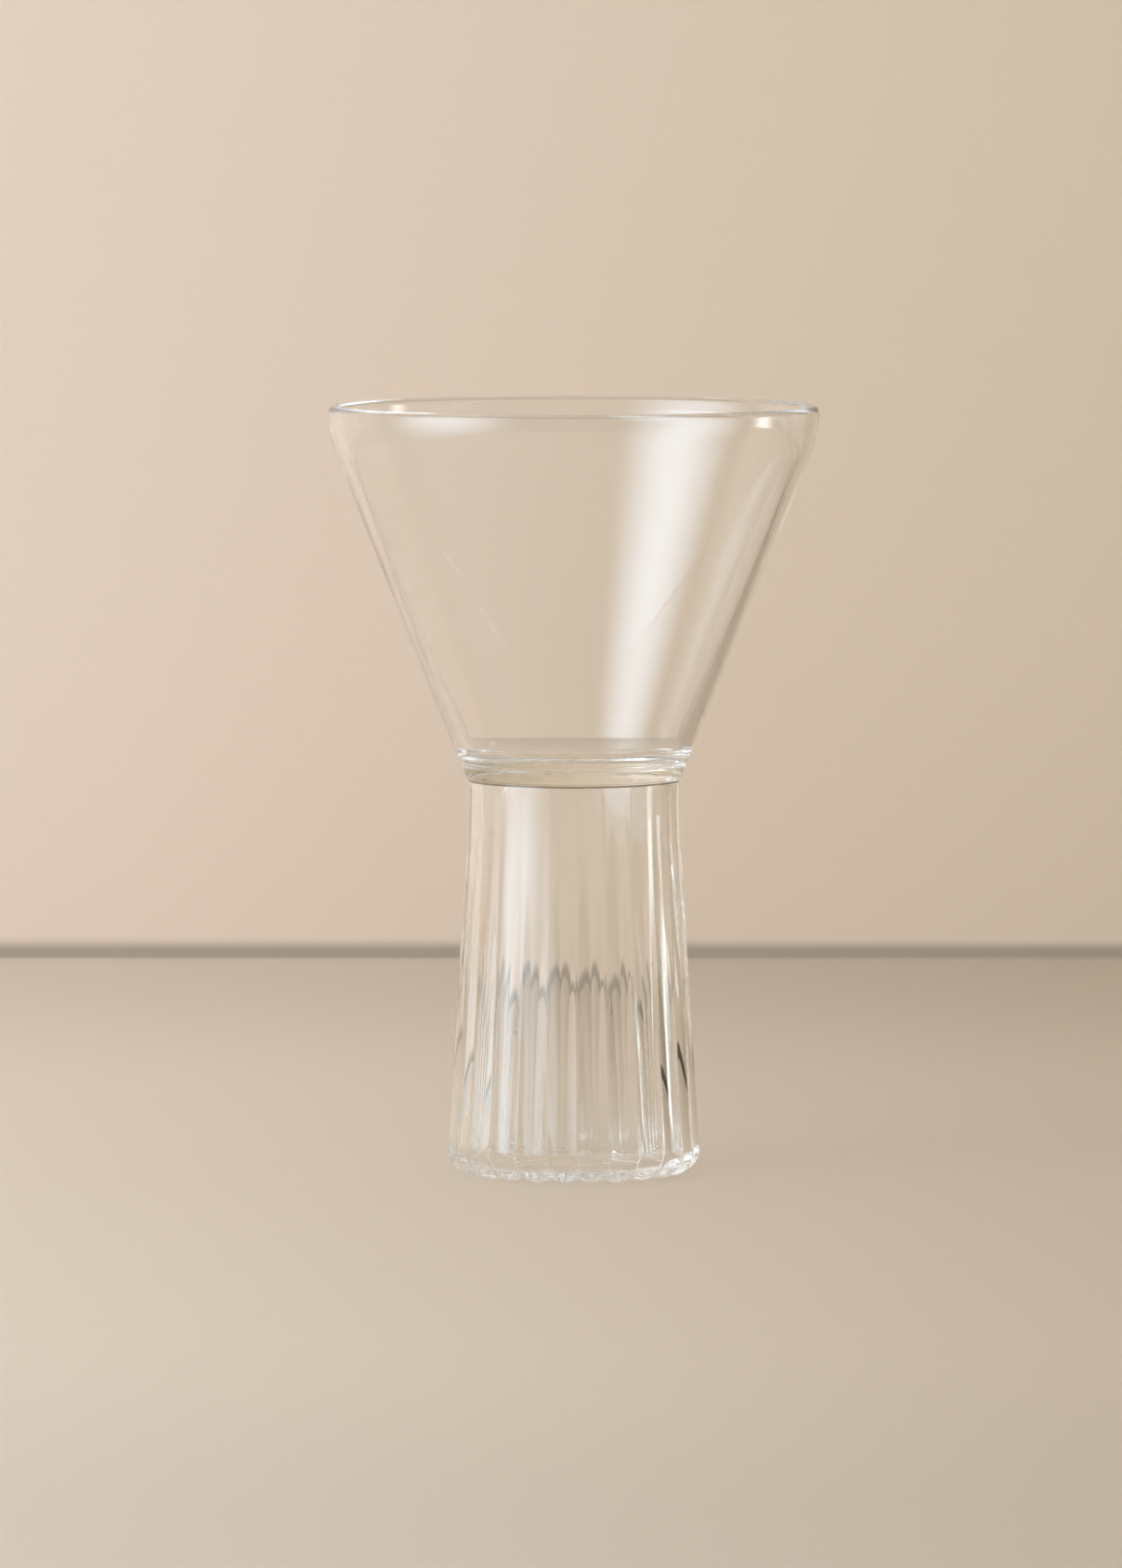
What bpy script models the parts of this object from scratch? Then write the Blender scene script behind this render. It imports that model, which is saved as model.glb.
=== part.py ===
"""Cocktail glass: a clear conical bowl fused on to a hollow ribbed foot.

Five glass pieces stand on one vertical axis.  From the table up they are the ribbed foot, the lower
seam, the joint disc, the upper seam and the bowl.  Lengths are in metres, +Z is up, and the origin is
the centre of the ring that the foot stands on.
"""

from math import cos, degrees, pi, radians, sin, sqrt, tan

import bmesh
import bpy
from mathutils import Vector

MM = 0.001
FUSE_GAP = 0.3 * MM

# Driving dimensions
HEIGHT = 160.0 * MM
RIM_RADIUS = 51.0 * MM
CONE_ANGLE = radians(21.8)
DISC_BOTTOM = 82.2 * MM
FOOT_RADIUS = 26.4 * MM

# Bowl
BOWL_BOTTOM = 85.6 * MM
BOWL_FLOOR = 87.4 * MM
BOWL_CORNER = 1.2 * MM
BOWL_SEAT_RADIUS = 22.5 * MM
CORNER_BLEND = 88.4 * MM
CONE_START = 86.9 * MM
CONE_START_RADIUS = 24.15 * MM
SHOULDER_RADIUS = 22.0 * MM
UPPER_WALL = 2.3 * MM
BASE_WALL = 2.8 * MM
WALL_GROWTH = 1.5
LIP_ROUNDING = 1.2 * MM
LIP_TAPER = 8.0 * MM
FLOOR_FILLET = 3.2 * MM
INNER_LIP_STEPS = 4
INNER_CONE_STEPS = 4

# Joint disc and the two seams
DISC_THICKNESS = 3.1 * MM
DISC_TOP_RADIUS = 23.4 * MM
DISC_TOP_EDGE = 0.85 * MM
DISC_BOTTOM_RADIUS = 22.25 * MM
DISC_BOTTOM_EDGE = 0.3 * MM
DISC_SIDE_ANGLE = 20
UPPER_SEAM_RADIUS = 23.7 * MM
UPPER_SEAM_BEAD = 0.35 * MM
LOWER_SEAM_HEIGHT = 0.6 * MM
LOWER_SEAM_OUTER = 22.0 * MM
LOWER_SEAM_INNER = 19.2 * MM
SEAM_EDGE = 0.25 * MM

# Ribbed foot
RIBS = 24
RIB_TURN = radians(-88 + 7.5)
RIB_DEPTH_TOP = 0.1 * MM
RIB_DEPTH_BASE = 0.85 * MM
INNER_RIB_SHARE = -0.4
RIB_FADE = 1.5 * MM
FOOT_TOP_RADIUS = 22.05 * MM
FOOT_BEND = 72.0 * MM
BEND_SOFTNESS = 6.0 * MM
FOOT_CORNER = 4.8 * MM
FOOT_WALL_TOP = 2.9 * MM
FOOT_WALL_BASE = 2.0 * MM
FOOT_WALL_STEPS = 10
FOOT_FLOOR = 3.0 * MM
FOOT_INNER_CORNER = 3.2 * MM
STANDING_RING_INNER = 17.0 * MM
UNDERSIDE_RISE = 0.8 * MM

ROUND_STEPS = 64
RIB_STEPS = 4
SHARP_ANGLE = radians(40)
MERGE_DISTANCE = 0.001 * MM

LOWER_SEAM_TOP = DISC_BOTTOM - FUSE_GAP
LOWER_SEAM_BOTTOM = LOWER_SEAM_TOP - LOWER_SEAM_HEIGHT
FOOT_TOP = LOWER_SEAM_BOTTOM - FUSE_GAP
DISC_TOP = DISC_BOTTOM + DISC_THICKNESS
UPPER_SEAM_HEIGHT = (DISC_TOP + BOWL_BOTTOM) / 2


def clear_scene():
    for obj in list(bpy.data.objects):
        bpy.data.objects.remove(obj, do_unlink=True)


def glass(name, colour, roughness):
    """A clear glass material for one sub-part."""
    material = bpy.data.materials.new(name)
    material.use_nodes = True
    shader = material.node_tree.nodes["Principled BSDF"]
    shader.inputs["Base Color"].default_value = (*colour, 1.0)
    shader.inputs["Roughness"].default_value = roughness
    shader.inputs["Metallic"].default_value = 0.0
    shader.inputs["Transmission Weight"].default_value = 1.0
    shader.inputs["IOR"].default_value = 1.5
    return material


def arc(centre, radius, start, end, steps):
    """Points (r, z) on an arc from angle start to angle end, in degrees anticlockwise from outwards."""
    points = []
    for i in range(steps + 1):
        angle = radians(start + (end - start) * i / steps)
        points.append((centre[0] + radius * cos(angle), centre[1] + radius * sin(angle)))
    return points


def smooth_step(share):
    share = min(max(share, 0.0), 1.0)
    return share * share * (3 - 2 * share)


def turn(name, outline, steps, material, closed_ring=False, shape=None):
    """Spins an outline of (r, z) points about Z into one closed solid.

    An outline that isn't a closed ring starts and ends on the axis.  shape, if given, moves each
    turned vertex.
    """
    mesh_edit = bmesh.new()
    corners = [mesh_edit.verts.new((r, 0.0, z)) for r, z in outline]
    pairs = list(zip(corners, corners[1:]))
    if closed_ring:
        pairs.append((corners[-1], corners[0]))
    edges = [mesh_edit.edges.new(pair) for pair in pairs]
    bmesh.ops.spin(
        mesh_edit,
        geom=corners + edges,
        cent=(0, 0, 0),
        axis=(0, 0, 1),
        angle=2 * pi,
        steps=steps,
        use_merge=True,
    )
    bmesh.ops.remove_doubles(mesh_edit, verts=mesh_edit.verts, dist=MERGE_DISTANCE)
    if shape:
        for vertex in mesh_edit.verts:
            vertex.co = shape(vertex.co)
    bmesh.ops.recalc_face_normals(mesh_edit, faces=mesh_edit.faces)
    mesh = bpy.data.meshes.new(name)
    mesh_edit.to_mesh(mesh)
    mesh_edit.free()
    mesh.shade_smooth()
    mesh.set_sharp_from_angle(angle=SHARP_ANGLE)
    mesh.materials.append(material)
    obj = bpy.data.objects.new(name, mesh)
    bpy.context.scene.collection.objects.link(obj)
    return obj


def cone_radius(z):
    """Outer radius of the bowl's straight cone at height z."""
    return CONE_START_RADIUS + (z - CONE_START) * tan(CONE_ANGLE)


def bowl_wall(z):
    """Wall thickness of the cone, square to the wall: thickest just above the floor."""
    share = min(max((HEIGHT - z) / (HEIGHT - BOWL_FLOOR), 0.0), 1.0)
    return UPPER_WALL + (BASE_WALL - UPPER_WALL) * share**WALL_GROWTH


def shoulder():
    """Centre (r, z) and lowest height of the arc that turns the cone upright below the rim."""
    centre_r = RIM_RADIUS - SHOULDER_RADIUS
    tangent_r = centre_r + SHOULDER_RADIUS * cos(CONE_ANGLE)
    tangent_z = CONE_START + (tangent_r - CONE_START_RADIUS) / tan(CONE_ANGLE)
    centre_z = tangent_z + SHOULDER_RADIUS * sin(CONE_ANGLE)
    return (centre_r, centre_z), tangent_z


def inner_shoulder_point(z):
    """Point (r, z) inside the shoulder, where the wall thins towards the rounded lip."""
    (centre_r, centre_z), _ = shoulder()
    below_centre = min(z - centre_z, 0.0)
    outside = centre_r + sqrt(SHOULDER_RADIUS**2 - below_centre**2)
    lip_wall = 2 * LIP_ROUNDING
    full_wall = UPPER_WALL / cos(CONE_ANGLE)
    share = smooth_step((HEIGHT - LIP_ROUNDING - z) / LIP_TAPER)
    return outside - lip_wall - (full_wall - lip_wall) * share, z


def inner_cone_point(z):
    """Point (r, z) on the bowl's inner wall, across the wall from the cone's outer point at z."""
    wall = bowl_wall(z)
    return cone_radius(z) - wall * cos(CONE_ANGLE), z + wall * sin(CONE_ANGLE)


def build_bowl(material):
    """The drinking bowl: a cone with a shoulder, a rounded lip and a flat floor."""
    cone_degrees = degrees(CONE_ANGLE)
    shoulder_centre, tangent_z = shoulder()
    seat_corner = (BOWL_SEAT_RADIUS, BOWL_BOTTOM + BOWL_CORNER)
    lip = (RIM_RADIUS - LIP_ROUNDING, HEIGHT - LIP_ROUNDING)
    outline = [(0.0, BOWL_BOTTOM)]
    outline += arc(seat_corner, BOWL_CORNER, -90, 0, 4)
    outline += [(cone_radius(CORNER_BLEND), CORNER_BLEND)]
    outline += arc(shoulder_centre, SHOULDER_RADIUS, -cone_degrees, 0, 5)
    outline += arc(lip, LIP_ROUNDING, 0, 180, 8)
    for i in range(1, INNER_LIP_STEPS + 1):
        share = i / INNER_LIP_STEPS
        outline.append(inner_shoulder_point(lip[1] + (tangent_z - lip[1]) * share))
    lowest = BOWL_FLOOR + FLOOR_FILLET
    for i in range(1, INNER_CONE_STEPS + 1):
        share = i / INNER_CONE_STEPS
        outline.append(inner_cone_point(tangent_z + (lowest - tangent_z) * share))
    fillet_centre = (outline[-1][0] - FLOOR_FILLET * cos(CONE_ANGLE), lowest)
    outline += arc(fillet_centre, FLOOR_FILLET, -cone_degrees, -90, 5)[1:]
    outline += [(0.0, BOWL_FLOOR)]
    return turn("bowl", outline, ROUND_STEPS, material)


def build_upper_seam(material):
    """The bead of fused glass in the groove between the bowl and the joint disc."""
    centre = (UPPER_SEAM_RADIUS, UPPER_SEAM_HEIGHT)
    outline = arc(centre, UPPER_SEAM_BEAD, 0, 360, 8)[:-1]
    return turn("upper_seam", outline, ROUND_STEPS, material, closed_ring=True)


def build_joint_disc(material):
    """The solid disc between bowl and foot, tapered in line with the bowl's cone."""
    bottom_edge = (DISC_BOTTOM_RADIUS - DISC_BOTTOM_EDGE, DISC_BOTTOM + DISC_BOTTOM_EDGE)
    top_edge = (DISC_TOP_RADIUS - DISC_TOP_EDGE, DISC_TOP - DISC_TOP_EDGE)
    outline = [(0.0, DISC_BOTTOM)]
    outline += arc(bottom_edge, DISC_BOTTOM_EDGE, -90, -DISC_SIDE_ANGLE, 3)
    outline += arc(top_edge, DISC_TOP_EDGE, -DISC_SIDE_ANGLE, 90, 5)
    outline += [(0.0, DISC_TOP)]
    return turn("joint_disc", outline, ROUND_STEPS, material)


def build_lower_seam(material):
    """The ring of fused glass between the disc's underside and the lip of the hollow foot."""
    edge_r = LOWER_SEAM_OUTER - SEAM_EDGE
    outline = arc((edge_r, LOWER_SEAM_BOTTOM + SEAM_EDGE), SEAM_EDGE, -90, 0, 2)
    outline += arc((edge_r, LOWER_SEAM_TOP - SEAM_EDGE), SEAM_EDGE, 0, 90, 2)
    outline += [(LOWER_SEAM_INNER, LOWER_SEAM_TOP), (LOWER_SEAM_INNER, LOWER_SEAM_BOTTOM)]
    return turn("lower_seam", outline, ROUND_STEPS, material, closed_ring=True)


def bend_away(distance):
    """0 well before a bend, the distance itself well after it, and smooth between."""
    return (sqrt(distance**2 + BEND_SOFTNESS**2) + distance) / 2


def foot_radius(z):
    """Outer radius over the tops of the ribs: a straight neck that bends into an even flare."""
    flared = bend_away(FOOT_BEND - z) / bend_away(FOOT_BEND - FOOT_CORNER)
    return FOOT_TOP_RADIUS + (FOOT_RADIUS - FOOT_TOP_RADIUS) * flared


def rib_depth(z):
    """Depth of the grooves between ribs: none at the lip or the standing ring, most near the base."""
    depth = RIB_DEPTH_TOP + (RIB_DEPTH_BASE - RIB_DEPTH_TOP) * smooth_step(1 - z / FOOT_TOP)
    fade_out_at_lip = smooth_step((FOOT_TOP - z) / RIB_FADE)
    fade_in_at_corner = smooth_step(z / FOOT_CORNER)
    return depth * fade_out_at_lip * fade_in_at_corner


def foot_wall(z):
    """Wall thickness of the foot under a rib: thinner towards the wide base."""
    return FOOT_WALL_BASE + (FOOT_WALL_TOP - FOOT_WALL_BASE) * z / FOOT_TOP


def inner_foot_radius(z):
    return foot_radius(z) - foot_wall(z)


def groove_share(angle):
    """0 on the crest of a rib, rising evenly to 1 in the groove beside it."""
    turns = angle * RIBS / (2 * pi)
    return abs(turns - round(turns)) * 2


def ribbed(point):
    """Presses the grooves into a turned vertex of the foot; the inner wall mirrors them faintly."""
    radius = Vector((point.x, point.y)).length
    if radius <= STANDING_RING_INNER:
        return point
    angle = Vector((1, 0)).angle_signed(Vector((point.x, point.y)))
    groove = rib_depth(point.z) * groove_share(angle) ** 2
    middle_of_wall = foot_radius(point.z) - foot_wall(point.z) / 2
    inner_face = radius < middle_of_wall and point.z > FOOT_FLOOR
    moved = radius - groove * (INNER_RIB_SHARE if inner_face else 1.0)
    return Vector((point.x * moved / radius, point.y * moved / radius, point.z))


def underside_height(radius):
    """Height of the underside, hollowed inside the standing ring so the glass doesn't rock."""
    return UNDERSIDE_RISE * (1 - (radius / STANDING_RING_INNER) ** 2)


def build_ribbed_foot(material):
    """The hollow foot: ribbed wall, rounded base corner, flat floor and an open top."""
    contact = (FOOT_RADIUS - FOOT_CORNER, FOOT_CORNER)
    wall_span = FOOT_TOP - RIB_FADE - FOOT_CORNER
    wall_heights = [FOOT_CORNER + wall_span * i / FOOT_WALL_STEPS for i in range(1, FOOT_WALL_STEPS + 1)]
    outline = [(radius, underside_height(radius)) for radius in (0.0, STANDING_RING_INNER / 2)]
    outline += [(STANDING_RING_INNER, 0.0)]
    outline += arc(contact, FOOT_CORNER, -90, 0, 5)
    outline += [(foot_radius(z), z) for z in wall_heights]
    outline += [(foot_radius(FOOT_TOP), FOOT_TOP), (inner_foot_radius(FOOT_TOP), FOOT_TOP)]
    outline += [(inner_foot_radius(z), z) for z in reversed(wall_heights[1::2])]
    inner_corner_z = FOOT_FLOOR + FOOT_INNER_CORNER
    inner_corner = (inner_foot_radius(inner_corner_z) - FOOT_INNER_CORNER, inner_corner_z)
    outline += arc(inner_corner, FOOT_INNER_CORNER, 0, -90, 3)
    outline += [(0.0, FOOT_FLOOR)]
    foot = turn("ribbed_foot", outline, RIBS * RIB_STEPS, material, shape=ribbed)
    foot.rotation_euler.z = RIB_TURN
    return foot


def main():
    clear_scene()
    build_bowl(glass("bowl_glass", (0.97, 0.98, 0.96), 0.0))
    build_upper_seam(glass("upper_seam_glass", (0.95, 0.97, 0.93), 0.02))
    build_joint_disc(glass("joint_disc_glass", (0.95, 0.96, 0.92), 0.0))
    build_lower_seam(glass("lower_seam_glass", (0.95, 0.97, 0.93), 0.02))
    build_ribbed_foot(glass("ribbed_foot_glass", (0.97, 0.98, 0.96), 0.0))


main()
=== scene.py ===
"""Looks of a clear cocktail glass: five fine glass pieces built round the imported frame, in a plain studio.

Lengths inside the outlines are in millimetres, as (distance from the axis, height), and become metres
when a piece is made.  Neighbouring pieces are fused: the faces where they meet are invisible, so light
goes from one piece to the next as it does inside a single lump of glass.
"""

from math import cos, degrees, pi, radians, sin, sqrt, tan

import bpy
import numpy as np
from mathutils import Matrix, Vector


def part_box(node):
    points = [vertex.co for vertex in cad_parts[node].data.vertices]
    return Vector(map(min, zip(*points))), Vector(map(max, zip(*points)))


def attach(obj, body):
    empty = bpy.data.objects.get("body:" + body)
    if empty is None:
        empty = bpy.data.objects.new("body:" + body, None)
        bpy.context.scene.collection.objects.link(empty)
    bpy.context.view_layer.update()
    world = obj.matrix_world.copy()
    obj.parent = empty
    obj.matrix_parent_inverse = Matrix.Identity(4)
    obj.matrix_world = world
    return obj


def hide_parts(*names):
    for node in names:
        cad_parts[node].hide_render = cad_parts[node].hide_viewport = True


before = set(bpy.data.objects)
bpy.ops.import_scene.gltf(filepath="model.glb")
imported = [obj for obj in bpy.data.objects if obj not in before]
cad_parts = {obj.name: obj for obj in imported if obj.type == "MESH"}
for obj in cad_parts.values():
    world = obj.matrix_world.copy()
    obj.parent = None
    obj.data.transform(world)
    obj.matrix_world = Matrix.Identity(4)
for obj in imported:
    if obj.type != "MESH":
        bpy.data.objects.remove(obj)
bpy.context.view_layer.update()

MM = 0.001

# Sizes from the frame, in millimetres
BOWL_LOW, BOWL_HIGH = (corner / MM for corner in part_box("bowl"))
DISC_LOW, DISC_HIGH = (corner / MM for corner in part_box("joint_disc"))
HEIGHT = BOWL_HIGH.z
RIM_RADIUS = BOWL_HIGH.x
DISC_BOTTOM = DISC_LOW.z

# Where the pieces meet
TOUCH = 0.01
INSET = 0.06
SEAT_HEIGHT = (BOWL_LOW.z + DISC_HIGH.z) / 2
SEAT_RADIUS = 22.9
UPPER_SEAM_TOP = SEAT_HEIGHT + 0.3
UPPER_SEAM_BOTTOM = SEAT_HEIGHT - 0.4
LOWER_SEAM_TOP = DISC_BOTTOM - TOUCH
LOWER_SEAM_BOTTOM = LOWER_SEAM_TOP - 0.3
FOOT_TOP = LOWER_SEAM_BOTTOM - TOUCH

# Bowl
CONE_ANGLE = radians(21.8)
CONE_START = 86.9
CONE_START_RADIUS = 24.15
BOWL_FLOOR = 87.4
FLOOR_FILLET = 3.2
SHOULDER_RADIUS = 22.0
UPPER_WALL = 2.3
BASE_WALL = 2.8
WALL_GROWTH = 1.5
LIP_ROUNDING = 1.2
LIP_HEIGHT = HEIGHT - INSET - LIP_ROUNDING
LIP_TAPER = 8.0

# Upper seam: its waist behind the cone's line, and how far that line is missed at heights above it
SEAM_WAIST = 0.25
SEAM_HOLLOW = 0.06
SEAM_BLEND = [(0.1, 0.12), (0.25, 0.04), (0.45, 0.0)]

# Joint disc and lower seam
DISC_TOP_RADIUS = 23.42
DISC_BOTTOM_RADIUS = 22.25
DISC_EDGE = 0.3
DISC_EDGE_INSET = 0.1
DISC_EDGE_TURN = (-75, -10)
LIP_INNER = 19.2
LIP_OUTER = 22.1
LIP_HOLLOW = 0.1
NOTCH_RADIUS = 21.75
NOTCH_ROUNDING = 0.2
NOTCH_TURN = (0, 70)

# Ribbed foot
FOOT_RADIUS = 26.4
RIBS = 24
RIB_TURN = radians(-88 + 7.5)
RIB_SOFTNESS = 0.14
RIB_DEPTH_TOP = 0.1
RIB_DEPTH_BASE = 0.85
RIB_FADE = 1.5
CORNER_RIB_SHARE = 0.8
INNER_RIB_SHARE = -0.4
FOOT_TOP_RADIUS = 22.05
FOOT_BEND = 72.0
BEND_SOFTNESS = 6.0
FOOT_CORNER = 4.8
FOOT_WALL_TOP = 2.9
FOOT_WALL_BASE = 2.0
FOOT_FLOOR = 3.0
FOOT_INNER_CORNER = 3.2
STANDING_RING = 17.0
UNDERSIDE_RISE = 0.8

# Unevenness of hand-made glass, and the distance over which it dies out towards fused faces.  It is a
# sum of waves that go round the axis a few times and slant by up to WAVE_SLANT radians per millimetre.
BOWL_UNEVENNESS = 0.03
DISC_UNEVENNESS = 0.03
FOOT_UNEVENNESS = 0.02
CALM_REACH = 3.0
WAVE_COUNT = 6
WAVE_MOST_TURNS = 5
WAVE_SLANT = 0.12

# Fineness: steps round the axis and along the longer parts of the outlines
BOWL_STEPS = 360
FOOT_STEPS = RIBS * 20
CONE_STEPS = 40
SHOULDER_STEPS = 20
LIP_STEPS = 24
FILLET_STEPS = 12
FOOT_WALL_STEPS = 50
FOOT_TOP_STEPS = 13
FOOT_TOP_BAND = 4
FOOT_CORNER_STEPS = 20
UNDERSIDE_START = 2
UNDERSIDE_POINTS = 9
RING_STEPS = 5
EDGE_STEPS = 6
NOTCH_STEPS = 8
SHARP_ANGLE = radians(35)

# Glass: tint, size of the surface waves along X, Y and Z, their height in mm and their detail
GLASS_IOR = 1.47
GLASS_BOUNCES = 200
SHADOW_TINT = (0.965, 0.965, 0.962, 1)
BOWL_GLASS = ((1.0, 1.0, 0.993), (60, 60, 60), 0.02, 1.0)
SEAM_GLASS = ((0.97, 0.97, 0.93), (90, 90, 90), 0.02, 1.0)
# Painted shade: the lower seam's glass is tinted almost black to draw the dark line of the crevice under the
# disc
NOTCH_PAINTED_SHADE = ((0.12, 0.1, 0.08), (90, 90, 90), 0.02, 1.0)
DISC_GLASS = ((0.82, 0.8, 0.68), (90, 90, 90), 0.3, 2.0)
FOOT_GLASS = ((0.998, 1.0, 0.988), (300, 300, 10), 0.012, 2.0)

# Wall and table: colours at places along X, Y or Z, in metres.  Their changes are painted light and shade.
STUDIO_SIZE = 6.0
WALL_DISTANCE = 0.4606
WALL_TURN = radians(0.25)
# Painted light and shade on the wall: lighter on the left towards the softbox, darker to the right, and a
# painted dark area far to the right
WALL_LEFT_LIT = (0.795, 0.622, 0.487)
WALL_MIDDLE = (0.76, 0.596, 0.448)
WALL_RIGHT_SHADED = (0.726, 0.57, 0.41)
WALL_FAR_RIGHT_SHADE = (0.4, 0.325, 0.24)
WALL_LIGHT_STOPS = [(-0.25, WALL_LEFT_LIT), (0.25, WALL_RIGHT_SHADED), (0.5, WALL_RIGHT_SHADED), (1.0, WALL_FAR_RIGHT_SHADE)]
LINE_TOP = 0.0055
# Painted shadow: the dark line along the foot of the wall where it meets the table, much darker far to the
# right
SHADOW_LINE_LOW = (0.51, 0.405, 0.307)
SHADOW_LINE_DARK = (0.42, 0.335, 0.255)
SHADOW_LINE_STOPS = [(0.0, SHADOW_LINE_LOW), (0.0008, SHADOW_LINE_DARK), (0.002, SHADOW_LINE_DARK), (LINE_TOP, WALL_MIDDLE)]
SHADOW_LINE_ACROSS = [(0.16, (1.0,) * 3), (0.35, (0.12,) * 3)]
TABLE_LEFT = -0.5
TABLE_NEAR = -0.8
TABLE_FAR = 1.6
# Painted light and shade on the table: lighter on the left towards the softbox, darker on the right, with
# painted shade near the wall and towards the camera
TABLE_LIGHT_STOPS = [(-0.2, (0.75, 0.62, 0.497)), (0.2, (0.593, 0.477, 0.366))]
TABLE_SHADE_DEPTH = [(-0.49, (0.93,) * 3), (-0.25, (1.0,) * 3), (0.15, (1.0,) * 3), (0.44, (0.9,) * 3)]

# Glowing panels: azimuth to the left of the camera, distance, width, bottom, top, strength and colour
SOFTBOX = (radians(61), 1.5, 2.3, -0.45, 2.2, 5.0, (0.79, 0.995, 1.21))
SIDE_GLOW = (radians(-100), 1.2, 0.36, -0.45, 0.35, 5.0, (0.9, 1.0, 1.05))
GLOW_FADES = [("X", 0.0), ("Y", 0.2)]

# Room light by direction, and a lamp above the camera
ROOM_ACROSS = [(0.0, (0.62, 0.6, 0.57)), (0.8, (0.32, 0.31, 0.29))]
ROOM_ALONG = [(-0.85, (0.3,) * 3), (-0.25, (1.0,) * 3)]
FILL_PLACE = (0.0, -2.5, 2.5)
FILL_TILT = radians(45)
FILL_SIZE = 3.0
FILL_POWER = 32.0

# Camera
CAMERA_DISTANCE = 2.03
CAMERA_HEIGHT = 0.241
CAMERA_SIDE = -0.0026
CAMERA_PITCH = radians(4.504)
CAMERA_LENS = 224.6


# ---------------------------------------------------------------- outlines

def arc(centre, radius, start, end, steps):
    """Points on an arc from angle start to angle end, in degrees anticlockwise from outwards."""
    angles = np.radians(np.linspace(start, end, steps + 1))
    return [(centre[0] + radius * cos(a), centre[1] + radius * sin(a)) for a in angles]


def line(start, end, steps):
    """Evenly spaced points from start to end, without start itself."""
    shares = np.linspace(0, 1, steps + 1)[1:]
    return [(start[0] + (end[0] - start[0]) * s, start[1] + (end[1] - start[1]) * s) for s in shares]


def smooth_step(share):
    share = min(max(share, 0.0), 1.0)
    return share * share * (3 - 2 * share)


class Outline:
    """A cross-section in (r, z) with, for each point, its rib depth and whether its face is fused."""

    def __init__(self, start):
        self.points = [start]
        self.ribs = [0.0]
        self.fused = [False]

    def add(self, points, ribs=0.0, fused=False):
        depths = ribs if isinstance(ribs, list) else [ribs] * len(points)
        self.points += points
        self.ribs += depths
        self.fused += [fused] * len(points)

    def line_to(self, end, steps=1, fused=False):
        self.add(line(self.points[-1], end, steps), fused=fused)


def normals_of(points):
    """Unit normals of an outline, pointing out of the glass for one that runs base, outside, inside."""
    ahead = np.roll(points, -1, axis=0)
    behind = np.roll(points, 1, axis=0)
    ahead[-1] = points[-1]
    behind[0] = points[0]
    along = ahead - behind
    length = np.maximum(np.linalg.norm(along, axis=1), 1e-9)
    return np.stack([along[:, 1], -along[:, 0]], axis=1) / length[:, None]


# ---------------------------------------------------------------- meshes

def lobe(angle):
    """0 on the crest of a rib and 1 at the bottom of the groove, with a crisp but rounded groove."""
    wave = np.cos(angle * RIBS / 2)
    soft = np.sqrt(wave**2 + RIB_SOFTNESS**2)
    full = np.sqrt(1 + RIB_SOFTNESS**2)
    return (full - soft) / (full - RIB_SOFTNESS)


def wobble(angle, height, seed):
    """A slow unevenness between about -1 and 1, the same every run."""
    pick = np.random.default_rng(seed)
    total = np.zeros(np.broadcast(angle, height).shape)
    for _ in range(WAVE_COUNT):
        turns = pick.integers(1, WAVE_MOST_TURNS + 1)
        rise = pick.uniform(-WAVE_SLANT, WAVE_SLANT)
        phase = pick.uniform(0, 2 * pi)
        total += np.sin(turns * angle + rise * height + phase)
    return total / WAVE_COUNT


def freedom(points, fused):
    """How free each outline point is to be uneven: 0 at fused faces and on the axis, 1 well away."""
    anchors = points[np.array(fused)]
    apart = np.linalg.norm(points[:, None, :] - anchors[None, :, :], axis=2).min(axis=1)
    return np.clip(np.minimum(apart, points[:, 0]) / CALM_REACH, 0, 1)


def skin(outline, steps, unevenness, seed):
    """The place (x, y, z) of every outline point at every step round the axis."""
    points = np.array(outline.points)
    ribs = np.array(outline.ribs)
    out = normals_of(points)
    angles = np.arange(steps) * 2 * pi / steps
    depth = ribs[:, None] * lobe(angles - RIB_TURN)[None, :]
    if unevenness:
        bumps = wobble(angles[None, :], points[:, 1][:, None], seed)
        depth = depth + unevenness * bumps * freedom(points, outline.fused)[:, None]
    radius = points[:, 0][:, None] - out[:, 0][:, None] * depth
    height = np.maximum(points[:, 1][:, None] - out[:, 1][:, None] * depth, TOUCH)
    return np.stack([radius * np.cos(angles), radius * np.sin(angles), height], axis=2)


def vertex_rows(outline, places):
    """All vertices, and one row of vertex numbers for each outline point.  A point on the axis has one."""
    steps = places.shape[1]
    verts, rows = [], []
    for (r, z), ring in zip(outline.points, places):
        if r < TOUCH:
            rows.append([len(verts)] * steps)
            verts.append((0.0, 0.0, z))
        else:
            rows.append(list(range(len(verts), len(verts) + steps)))
            verts.extend(map(tuple, ring))
    return verts, rows


def faces_between(rows, fused, closed_ring):
    """The faces between neighbouring rows and their material numbers: 1 where fused, otherwise 0."""
    faces, slots = [], []
    last = len(rows) if closed_ring else len(rows) - 1
    for i in range(last):
        following = (i + 1) % len(rows)
        low, high = rows[i], rows[following]
        for j in range(len(low)):
            k = (j + 1) % len(low)
            corners = [low[j], low[k], high[k], high[j]]
            faces.append(list(dict.fromkeys(corners)))
            slots.append(int(fused[following]))
    return faces, slots


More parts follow.
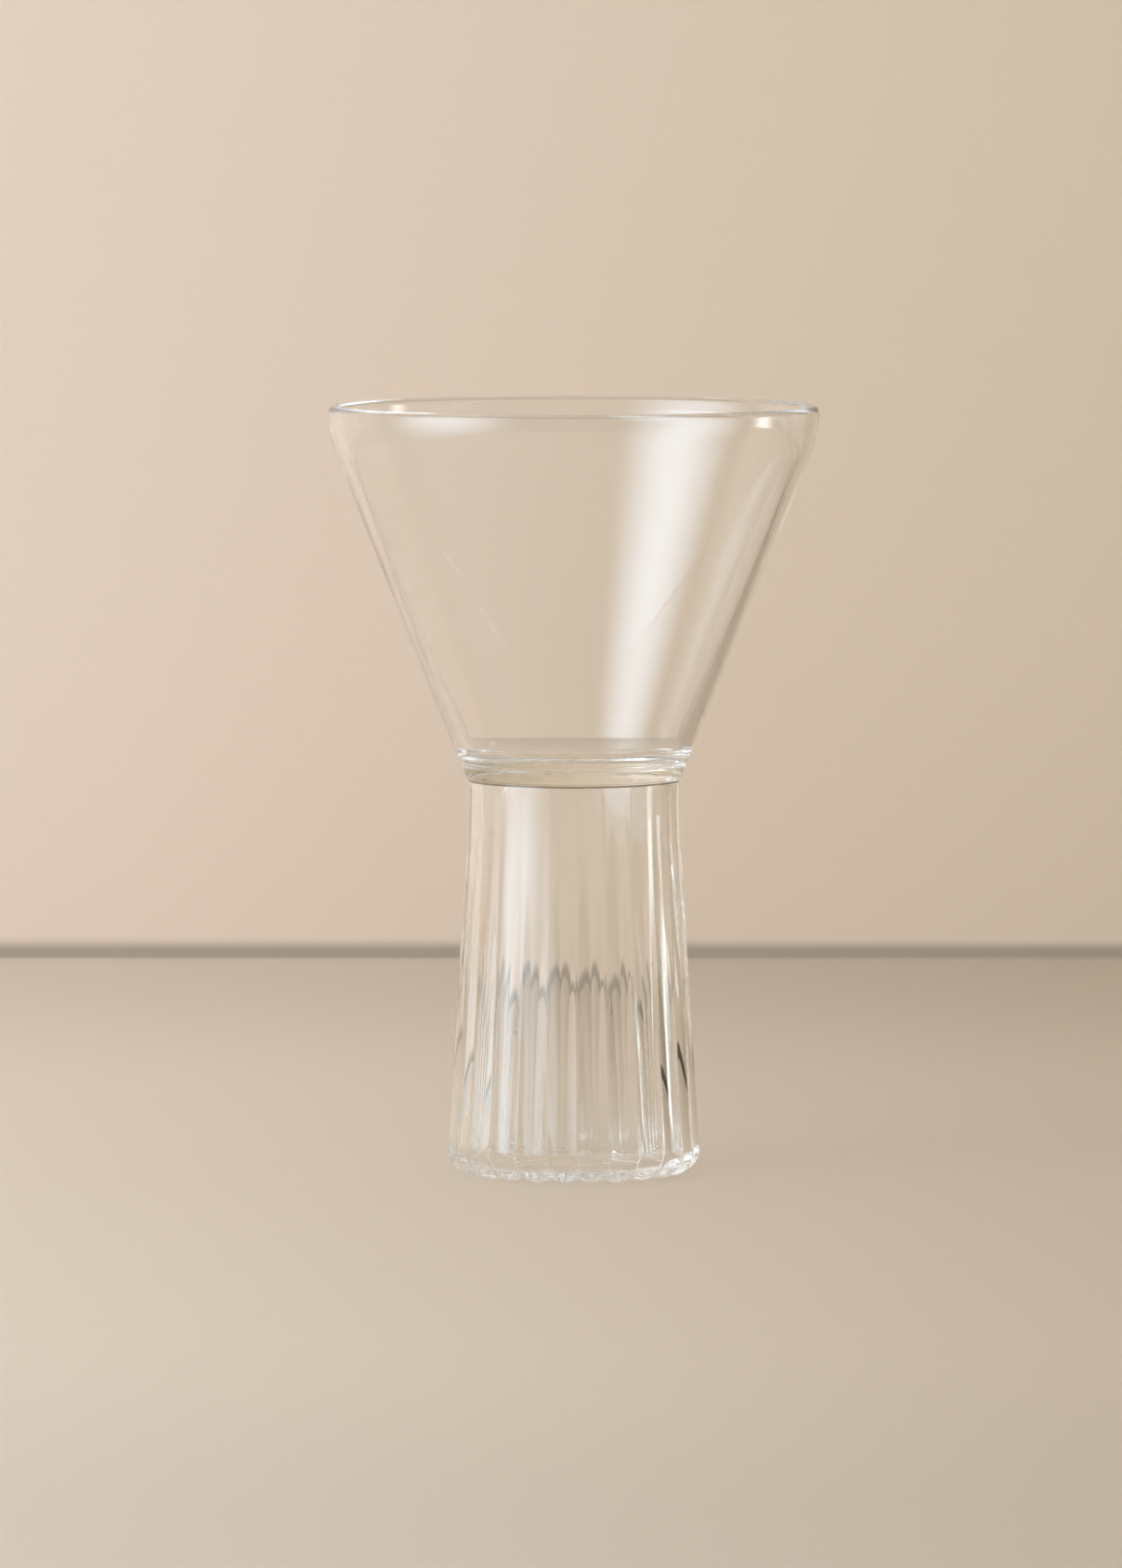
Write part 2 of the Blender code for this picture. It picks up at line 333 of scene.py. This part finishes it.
def turned(name, outline, steps, materials, closed_ring=False, unevenness=0.0, seed=1):
    """Turns an outline about the axis into a closed glass piece.  Fused faces take material 1."""
    verts, rows = vertex_rows(outline, skin(outline, steps, unevenness, seed))
    faces, slots = faces_between(rows, outline.fused, closed_ring)
    mesh = bpy.data.meshes.new(name)
    mesh.from_pydata([(x * MM, y * MM, z * MM) for x, y, z in verts], [], faces)
    for material in materials:
        mesh.materials.append(material)
    mesh.polygons.foreach_set("material_index", slots)
    mesh.shade_smooth()
    mesh.set_sharp_from_angle(angle=SHARP_ANGLE)
    mesh.update()
    piece = bpy.data.objects.new(name, mesh)
    bpy.context.scene.collection.objects.link(piece)
    return piece


# ---------------------------------------------------------------- materials

def new_material(name):
    material = bpy.data.materials.new(name)
    material.use_nodes = True
    nodes = material.node_tree.nodes
    nodes.clear()
    output = nodes.new("ShaderNodeOutputMaterial")
    return material, nodes, material.node_tree.links, output


def add_waves(nodes, links, shader, grain, height, detail):
    """Bends the shader's surface by the slow waves that hand blowing leaves."""
    place = nodes.new("ShaderNodeTexCoord")
    stretch = nodes.new("ShaderNodeMapping")
    stretch.inputs["Scale"].default_value = grain
    waves = nodes.new("ShaderNodeTexNoise")
    waves.inputs["Scale"].default_value = 1.0
    waves.inputs["Detail"].default_value = detail
    bump = nodes.new("ShaderNodeBump")
    bump.inputs["Strength"].default_value = 1.0
    bump.inputs["Distance"].default_value = height * MM
    links.new(place.outputs["Object"], stretch.inputs["Vector"])
    links.new(stretch.outputs["Vector"], waves.inputs["Vector"])
    links.new(waves.outputs["Fac"], bump.inputs["Height"])
    links.new(bump.outputs["Normal"], shader.inputs["Normal"])


def open_to_room_light(nodes, links, shader):
    """The shader, but clear for shadow rays and diffuse rays, because glass hardly dims a room's light."""
    path = nodes.new("ShaderNodeLightPath")
    room_light = nodes.new("ShaderNodeMath")
    room_light.operation = "MAXIMUM"
    passing = nodes.new("ShaderNodeBsdfTransparent")
    passing.inputs["Color"].default_value = SHADOW_TINT
    mix = nodes.new("ShaderNodeMixShader")
    links.new(path.outputs["Is Shadow Ray"], room_light.inputs[0])
    links.new(path.outputs["Is Diffuse Ray"], room_light.inputs[1])
    links.new(room_light.outputs["Value"], mix.inputs["Fac"])
    links.new(shader.outputs["BSDF"], mix.inputs[1])
    links.new(passing.outputs["BSDF"], mix.inputs[2])
    return mix.outputs["Shader"]


def clear_glass(name, tint, grain, wave_height, detail):
    """Polished clear glass with a faint tint and slow surface waves."""
    material, nodes, links, output = new_material(name)
    shader = nodes.new("ShaderNodeBsdfPrincipled")
    shader.inputs["Base Color"].default_value = (*tint, 1)
    shader.inputs["Roughness"].default_value = 0.0
    shader.inputs["IOR"].default_value = GLASS_IOR
    shader.inputs["Transmission Weight"].default_value = 1.0
    add_waves(nodes, links, shader, grain, wave_height, detail)
    links.new(open_to_room_light(nodes, links, shader), output.inputs["Surface"])
    return material


def fused_face(name):
    """The invisible face where two pieces of glass are melted together."""
    material, nodes, links, output = new_material(name)
    shader = nodes.new("ShaderNodeBsdfTransparent")
    links.new(shader.outputs["BSDF"], output.inputs["Surface"])
    return material


# ---------------------------------------------------------------- bowl

def cone_radius(z):
    """Outer radius of the bowl's straight cone."""
    return CONE_START_RADIUS + (z - CONE_START) * tan(CONE_ANGLE)


def shoulder():
    """Centre (r, z) and lowest height of the arc that turns the cone upright below the rim."""
    centre_r = RIM_RADIUS - INSET - SHOULDER_RADIUS
    tangent_r = centre_r + SHOULDER_RADIUS * cos(CONE_ANGLE)
    tangent_z = CONE_START + (tangent_r - CONE_START_RADIUS) / tan(CONE_ANGLE)
    return (centre_r, tangent_z + SHOULDER_RADIUS * sin(CONE_ANGLE)), tangent_z


def bowl_outside(z):
    """Outer radius of the bowl: the cone, the shoulder and then upright."""
    (centre_r, centre_z), tangent_z = shoulder()
    if z < tangent_z:
        return cone_radius(z)
    return centre_r + sqrt(SHOULDER_RADIUS**2 - min(z - centre_z, 0) ** 2)


def bowl_wall(z):
    """Level thickness of the wall, which grows from the rounded lip down and then towards the floor."""
    share = (HEIGHT - z) / (HEIGHT - BOWL_FLOOR)
    full = (UPPER_WALL + (BASE_WALL - UPPER_WALL) * share**WALL_GROWTH) / cos(CONE_ANGLE)
    below_lip = smooth_step((LIP_HEIGHT - z) / LIP_TAPER)
    return 2 * LIP_ROUNDING + (full - 2 * LIP_ROUNDING) * below_lip


def add_bowl_outside(outline):
    """The seat, the waist where the seam is fused, the straight cone and the shoulder."""
    centre, tangent_z = shoulder()
    outline.line_to((SEAT_RADIUS, SEAT_HEIGHT + TOUCH), 4, fused=True)
    outline.line_to((SEAT_RADIUS, UPPER_SEAM_TOP + TOUCH), fused=True)
    outline.line_to((cone_radius(UPPER_SEAM_TOP) - SEAM_WAIST, UPPER_SEAM_TOP + TOUCH), 2, fused=True)
    for rise, missed in SEAM_BLEND:
        outline.add([(cone_radius(UPPER_SEAM_TOP + rise) - missed, UPPER_SEAM_TOP + rise)])
    outline.line_to((cone_radius(tangent_z), tangent_z), CONE_STEPS)
    outline.add(arc(centre, SHOULDER_RADIUS, -degrees(CONE_ANGLE), 0, SHOULDER_STEPS)[1:])


def add_bowl_lip(outline):
    outline.line_to((RIM_RADIUS - INSET, LIP_HEIGHT), 3)
    lip_centre = (RIM_RADIUS - INSET - LIP_ROUNDING, LIP_HEIGHT)
    outline.add(arc(lip_centre, LIP_ROUNDING, 0, 180, LIP_STEPS)[1:])


def add_bowl_inside(outline):
    """The inner wall from the lip down, the fillet above the floor and the flat floor."""
    tangent_z = shoulder()[1]
    lowest = BOWL_FLOOR + FLOOR_FILLET
    for start, end, steps in ((LIP_HEIGHT, tangent_z, SHOULDER_STEPS), (tangent_z, lowest, CONE_STEPS)):
        heights = np.linspace(start, end, steps)[1:]
        outline.add([(bowl_outside(z) - bowl_wall(z), z) for z in heights])
    corner_r, corner_z = outline.points[-1]
    fillet = (corner_r - FLOOR_FILLET * cos(CONE_ANGLE), corner_z + FLOOR_FILLET * sin(CONE_ANGLE))
    drop = fillet[1] - FLOOR_FILLET - BOWL_FLOOR
    bend = arc(fillet, FLOOR_FILLET, -degrees(CONE_ANGLE), -90, FILLET_STEPS)[1:]
    outline.add([(r, z - drop * (i + 1) / FILLET_STEPS) for i, (r, z) in enumerate(bend)])
    outline.line_to((0.0, BOWL_FLOOR), 10)


def make_bowl(materials):
    """The bowl, from the middle of its seat out and up to the lip, then down the inside to the floor."""
    outline = Outline((0.0, SEAT_HEIGHT + TOUCH))
    add_bowl_outside(outline)
    add_bowl_lip(outline)
    add_bowl_inside(outline)
    return turned("bowl_glass", outline, BOWL_STEPS, materials, unevenness=BOWL_UNEVENNESS, seed=3)


# ---------------------------------------------------------------- joint

def make_upper_seam(materials):
    """The slightly hollow ring of fused glass between the disc and the bowl."""
    low_edge = DISC_TOP_RADIUS
    high_edge = cone_radius(UPPER_SEAM_TOP) - SEAM_WAIST
    middle = ((low_edge + high_edge) / 2 - SEAM_HOLLOW, (UPPER_SEAM_TOP + UPPER_SEAM_BOTTOM) / 2)
    outline = Outline((SEAT_RADIUS + TOUCH, UPPER_SEAM_BOTTOM + TOUCH))
    outline.fused[0] = True
    outline.line_to((low_edge, UPPER_SEAM_BOTTOM + TOUCH), 2, fused=True)
    outline.add([middle, (high_edge, UPPER_SEAM_TOP - TOUCH)])
    outline.line_to((SEAT_RADIUS + TOUCH, UPPER_SEAM_TOP - TOUCH), 2, fused=True)
    return turned("upper_seam_glass", outline, BOWL_STEPS, materials, closed_ring=True)


def make_disc(materials):
    """The solid disc: a flat underside with a small rounded edge, and a side in line with the cone."""
    slope = (DISC_TOP_RADIUS - DISC_BOTTOM_RADIUS) / (UPPER_SEAM_BOTTOM - DISC_BOTTOM)
    side_low = (DISC_BOTTOM_RADIUS + slope * DISC_EDGE, DISC_BOTTOM + DISC_EDGE)
    edge_centre = (LIP_OUTER - DISC_EDGE_INSET, DISC_BOTTOM + DISC_EDGE)
    outline = Outline((0.0, DISC_BOTTOM))
    outline.line_to((LIP_INNER, DISC_BOTTOM), 10)
    outline.line_to((NOTCH_RADIUS, DISC_BOTTOM), 2, fused=True)
    outline.add(arc(edge_centre, DISC_EDGE, *DISC_EDGE_TURN, EDGE_STEPS))
    outline.line_to(side_low)
    outline.line_to((DISC_TOP_RADIUS, UPPER_SEAM_BOTTOM - TOUCH), 8)
    outline.line_to((SEAT_RADIUS, UPPER_SEAM_BOTTOM - TOUCH), fused=True)
    outline.line_to((SEAT_RADIUS, SEAT_HEIGHT - TOUCH), fused=True)
    outline.line_to((0.0, SEAT_HEIGHT - TOUCH), 4, fused=True)
    return turned("joint_disc_glass", outline, BOWL_STEPS, materials, unevenness=DISC_UNEVENNESS, seed=5)


def make_lower_seam(materials):
    """The ring that joins foot and disc: flush with the foot, with a fine notch under the disc."""
    round_centre = (LIP_OUTER - NOTCH_ROUNDING, LOWER_SEAM_TOP - NOTCH_ROUNDING - TOUCH)
    outline = Outline((LIP_INNER, LOWER_SEAM_BOTTOM))
    outline.line_to((LIP_OUTER, LOWER_SEAM_BOTTOM), 2, fused=True)
    outline.add(arc(round_centre, NOTCH_ROUNDING, *NOTCH_TURN, NOTCH_STEPS))
    outline.add([(NOTCH_RADIUS, LOWER_SEAM_TOP)])
    outline.line_to((LIP_INNER, LOWER_SEAM_TOP), 2, fused=True)
    outline.add([(LIP_INNER + LIP_HOLLOW, (LOWER_SEAM_TOP + LOWER_SEAM_BOTTOM) / 2)])
    return turned("lower_seam_glass", outline, BOWL_STEPS, materials, closed_ring=True)


# ---------------------------------------------------------------- foot

def foot_radius(z):
    """Outer radius over the crests of the ribs: a straight neck that bends into an even flare."""
    flared = bend_away(FOOT_BEND - z) / bend_away(FOOT_BEND - FOOT_CORNER)
    return FOOT_TOP_RADIUS + (FOOT_RADIUS - FOOT_TOP_RADIUS) * flared


def bend_away(distance):
    """0 well before a bend, the distance well after it, and smooth between."""
    return (sqrt(distance**2 + BEND_SOFTNESS**2) + distance) / 2


def rib_depth(z):
    """Depth of the grooves between ribs: almost none at the lip and most at the base."""
    depth = RIB_DEPTH_TOP + (RIB_DEPTH_BASE - RIB_DEPTH_TOP) * smooth_step(1 - z / FOOT_TOP)
    return depth * smooth_step((FOOT_TOP - z) / RIB_FADE)


def inner_foot_radius(z):
    """The wall thins towards the wide base, as blown glass does."""
    wall = FOOT_WALL_BASE + (FOOT_WALL_TOP - FOOT_WALL_BASE) * min(z / FOOT_TOP, 1.0)
    return foot_radius(z) - wall


def add_foot_outside(outline, heights):
    """The hollowed underside, the standing ring, the base corner and the ribbed wall."""
    radii = np.linspace(UNDERSIDE_START, STANDING_RING, UNDERSIDE_POINTS)
    outline.add([(r, UNDERSIDE_RISE * (1 - (r / STANDING_RING) ** 2)) for r in radii])
    corner = (FOOT_RADIUS - FOOT_CORNER, FOOT_CORNER)
    ring = line((STANDING_RING, 0.0), (corner[0], 0.0), RING_STEPS)
    shares = [smooth_step(i / RING_STEPS) for i in range(1, RING_STEPS + 1)]
    outline.add(ring, [RIB_DEPTH_BASE * CORNER_RIB_SHARE * share for share in shares])
    bend = arc(corner, FOOT_CORNER, -90, 0, FOOT_CORNER_STEPS)[1:]
    growth = (1 - CORNER_RIB_SHARE) / FOOT_CORNER_STEPS
    shares = [CORNER_RIB_SHARE + growth * i for i in range(1, FOOT_CORNER_STEPS + 1)]
    outline.add(bend, [RIB_DEPTH_BASE * share for share in shares])
    outline.add([(foot_radius(z), z) for z in heights[:-1]], [rib_depth(z) for z in heights[:-1]])
    outline.line_to((LIP_OUTER, FOOT_TOP))


def add_foot_inside(outline, heights):
    """The inner wall from the fused lip down, where faint ribs mirror the outer ones, and the floor."""
    outline.line_to((LIP_INNER, FOOT_TOP), 2, fused=True)
    inner_low = FOOT_FLOOR + FOOT_INNER_CORNER
    inner = [z for z in heights[::-1] if z > inner_low][1:]
    depths = [-INNER_RIB_SHARE * rib_depth(z) for z in inner]
    outline.add([(min(inner_foot_radius(z), LIP_INNER + (FOOT_TOP - z)), z) for z in inner], depths)
    centre = (inner_foot_radius(inner_low) - FOOT_INNER_CORNER, inner_low)
    bend = arc(centre, FOOT_INNER_CORNER, 0, -90, FILLET_STEPS)
    outline.add(bend, [depths[-1] * (1 - i / FILLET_STEPS) for i in range(FILLET_STEPS + 1)])
    outline.line_to((0.0, FOOT_FLOOR), 8)


def make_foot(materials):
    low_part = np.linspace(FOOT_CORNER, FOOT_TOP - FOOT_TOP_BAND, FOOT_WALL_STEPS)[1:]
    high_part = np.linspace(FOOT_TOP - FOOT_TOP_BAND, FOOT_TOP, FOOT_TOP_STEPS)[1:]
    heights = np.concatenate([low_part, high_part])
    outline = Outline((0.0, UNDERSIDE_RISE))
    add_foot_outside(outline, heights)
    add_foot_inside(outline, heights)
    return turned("ribbed_foot_glass", outline, FOOT_STEPS, materials, unevenness=FOOT_UNEVENNESS, seed=8)


# ---------------------------------------------------------------- studio

def plane(name, corners, material):
    mesh = bpy.data.meshes.new(name)
    mesh.from_pydata(corners, [], [(0, 1, 2, 3)])
    mesh.materials.append(material)
    obj = bpy.data.objects.new(name, mesh)
    bpy.context.scene.collection.objects.link(obj)
    return obj


def blend_along(nodes, links, vector, axis, stops):
    """A colour that changes smoothly with one component of a vector; stops are (value, colour)."""
    split = nodes.new("ShaderNodeSeparateXYZ")
    links.new(vector, split.inputs["Vector"])
    colour = None
    for (start, first), (end, second) in zip(stops, stops[1:]):
        ramp = nodes.new("ShaderNodeMapRange")
        ramp.interpolation_type = "SMOOTHSTEP"
        ramp.inputs["From Min"].default_value = start
        ramp.inputs["From Max"].default_value = end
        mix = nodes.new("ShaderNodeMix")
        mix.data_type = "RGBA"
        links.new(split.outputs[axis], ramp.inputs["Value"])
        links.new(ramp.outputs["Result"], mix.inputs["Factor"])
        if colour is None:
            mix.inputs["A"].default_value = (*first, 1)
        else:
            links.new(colour, mix.inputs["A"])
        mix.inputs["B"].default_value = (*second, 1)
        colour = mix.outputs["Result"]
    return colour


def product_of(nodes, links, vector, blends):
    """The product of several blends, each an axis and its stops."""
    colour = blend_along(nodes, links, vector, *blends[0])
    for blend in blends[1:]:
        product = nodes.new("ShaderNodeMix")
        product.data_type = "RGBA"
        product.blend_type = "MULTIPLY"
        product.inputs["Factor"].default_value = 1.0
        links.new(colour, product.inputs["A"])
        links.new(blend_along(nodes, links, vector, *blend), product.inputs["B"])
        colour = product.outputs["Result"]
    return colour


def matte(name, blends, one_sided=False):
    """A matt surface whose colour changes smoothly with the position in the studio, as painted light and
    shade.
    """
    material, nodes, links, output = new_material(name)
    place = nodes.new("ShaderNodeNewGeometry")
    shader = nodes.new("ShaderNodeBsdfDiffuse")
    links.new(product_of(nodes, links, place.outputs["Position"], blends), shader.inputs["Color"])
    links.new(shader.outputs["BSDF"], output.inputs["Surface"])
    if one_sided:
        side = nodes.new("ShaderNodeNewGeometry")
        open_back = nodes.new("ShaderNodeBsdfTransparent")
        mix = nodes.new("ShaderNodeMixShader")
        links.new(side.outputs["Backfacing"], mix.inputs["Fac"])
        links.new(shader.outputs["BSDF"], mix.inputs[1])
        links.new(open_back.outputs["BSDF"], mix.inputs[2])
        links.new(mix.outputs["Shader"], output.inputs["Surface"])
    return material


def make_studio():
    """A pale table and a pale wall almost square to the camera, both with painted light and shade, and the
    painted shadow line where they meet.
    """
    left, near, far = TABLE_LEFT, TABLE_NEAR, TABLE_FAR
    table = [(left, near, 0), (far, near, 0), (far, far, 0), (left, far, 0)]
    plane("table", table, matte("table_painted_light", [("X", TABLE_LIGHT_STOPS), ("Y", TABLE_SHADE_DEPTH)]))
    dx, dy = STUDIO_SIZE * cos(WALL_TURN), -STUDIO_SIZE * sin(WALL_TURN)
    left = (-dx, WALL_DISTANCE - dy)
    right = (dx, WALL_DISTANCE + dy)
    wall = [(*left, LINE_TOP), (*right, LINE_TOP), (*right, STUDIO_SIZE), (*left, STUDIO_SIZE)]
    plane("wall", wall, matte("wall_painted_light", [("X", WALL_LIGHT_STOPS)], one_sided=True))
    strip = [(*left, 0), (*right, 0), (*right, LINE_TOP), (*left, LINE_TOP)]
    plane("wall_foot", strip, matte("shadow_line", [("Z", SHADOW_LINE_STOPS), ("X", SHADOW_LINE_ACROSS)], one_sided=True))


def edge_fade(nodes, links):
    """1 in the middle of a panel, falling smoothly to 0 at its edges."""
    place = nodes.new("ShaderNodeTexCoord")
    centre = nodes.new("ShaderNodeVectorMath")
    centre.operation = "SUBTRACT"
    centre.inputs[1].default_value = (0.5, 0.5, 0)
    away = nodes.new("ShaderNodeVectorMath")
    away.operation = "ABSOLUTE"
    split = nodes.new("ShaderNodeSeparateXYZ")
    both = nodes.new("ShaderNodeMath")
    both.operation = "MULTIPLY"
    links.new(place.outputs["Generated"], centre.inputs[0])
    links.new(centre.outputs["Vector"], away.inputs[0])
    links.new(away.outputs["Vector"], split.inputs["Vector"])
    for i, (axis, full) in enumerate(GLOW_FADES):
        fade = nodes.new("ShaderNodeMapRange")
        fade.interpolation_type = "SMOOTHSTEP"
        fade.inputs["From Min"].default_value = 0.5
        fade.inputs["From Max"].default_value = full
        links.new(split.outputs[axis], fade.inputs["Value"])
        links.new(fade.outputs["Result"], both.inputs[i])
    return both.outputs["Value"]


def glow_paint(name, strength, colour):
    """A light that fades towards the panel's edges and hides nothing behind it."""
    material, nodes, links, output = new_material(name)
    glow = nodes.new("ShaderNodeMath")
    glow.operation = "MULTIPLY"
    glow.inputs[1].default_value = strength
    shader = nodes.new("ShaderNodeEmission")
    shader.inputs["Color"].default_value = (*colour, 1)
    clear = nodes.new("ShaderNodeBsdfTransparent")
    seen = nodes.new("ShaderNodeAddShader")
    links.new(edge_fade(nodes, links), glow.inputs[0])
    links.new(glow.outputs["Value"], shader.inputs["Strength"])
    links.new(shader.outputs["Emission"], seen.inputs[0])
    links.new(clear.outputs["BSDF"], seen.inputs[1])
    links.new(seen.outputs["Shader"], output.inputs["Surface"])
    return material


def make_glow(name, azimuth, distance, width, bottom, top, strength, colour):
    """A soft upright panel of light that faces the glass and that the camera doesn't see directly."""
    half_w, half_h = width / 2, (top - bottom) / 2
    corners = [(-half_w, -half_h, 0), (half_w, -half_h, 0), (half_w, half_h, 0), (-half_w, half_h, 0)]
    panel = plane(name, corners, glow_paint(name, strength, colour))
    panel.location = (-distance * sin(azimuth), -distance * cos(azimuth), (top + bottom) / 2)
    panel.rotation_euler = (pi / 2, 0, -azimuth)
    panel.visible_camera = False


def make_room():
    """Room light that is dimmer on the right and dimmest behind the camera."""
    world = bpy.data.worlds.new("room")
    bpy.context.scene.world = world
    world.use_nodes = True
    nodes, links = world.node_tree.nodes, world.node_tree.links
    place = nodes.new("ShaderNodeTexCoord")
    blends = [("X", ROOM_ACROSS), ("Y", ROOM_ALONG)]
    colour = product_of(nodes, links, place.outputs["Generated"], blends)
    links.new(colour, nodes["Background"].inputs["Color"])


def make_fill():
    """A large soft lamp above the camera that lights the table and wall but doesn't show in the glass."""
    data = bpy.data.lights.new("fill", "AREA")
    data.size = FILL_SIZE
    data.energy = FILL_POWER
    lamp = bpy.data.objects.new("fill", data)
    lamp.location = FILL_PLACE
    lamp.rotation_euler = (FILL_TILT, 0, 0)
    lamp.visible_glossy = False
    lamp.visible_transmission = False
    lamp.visible_camera = False
    bpy.context.scene.collection.objects.link(lamp)


def make_camera():
    data = bpy.data.cameras.new("camera")
    data.lens = CAMERA_LENS
    camera = bpy.data.objects.new("camera", data)
    camera.location = (CAMERA_SIDE, -CAMERA_DISTANCE, CAMERA_HEIGHT)
    camera.rotation_euler = (pi / 2 - CAMERA_PITCH, 0, 0)
    bpy.context.scene.collection.objects.link(camera)
    bpy.context.scene.camera = camera


# ---------------------------------------------------------------- assembly

def place(piece, node, slot):
    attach(piece, "root")
    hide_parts(node)


def allow_deep_glass():
    """Light crosses many glass faces here, more than Cycles follows by default."""
    cycles = bpy.context.scene.cycles
    cycles.max_bounces = GLASS_BOUNCES
    cycles.transmission_bounces = GLASS_BOUNCES
    cycles.glossy_bounces = GLASS_BOUNCES
    cycles.transparent_max_bounces = GLASS_BOUNCES
    cycles.caustics_refractive = False
    cycles.caustics_reflective = False


def main():
    bpy.context.scene.view_settings.view_transform = "Standard"
    allow_deep_glass()
    fused = fused_face("fused_face")
    bowl = clear_glass("bowl_clear", *BOWL_GLASS)
    seam = clear_glass("seam_clear", *SEAM_GLASS)
    # Painted shade: almost black glass for the lower seam, drawing the crevice's dark line
    notch = clear_glass("seam_painted_shade", *NOTCH_PAINTED_SHADE)
    disc = clear_glass("disc_clear", *DISC_GLASS)
    foot = clear_glass("foot_clear", *FOOT_GLASS)
    place(make_bowl([bowl, fused]), "bowl", "bowl_glass")
    place(make_upper_seam([seam, fused]), "upper_seam", "seam_glass")
    place(make_disc([disc, fused]), "joint_disc", "disc_glass")
    place(make_lower_seam([notch, fused]), "lower_seam", "seam_glass")
    place(make_foot([foot, fused]), "ribbed_foot", "foot_glass")
    make_studio()
    make_glow("softbox", *SOFTBOX)
    make_glow("side_glow", *SIDE_GLOW)
    make_room()
    make_fill()
    make_camera()


main()
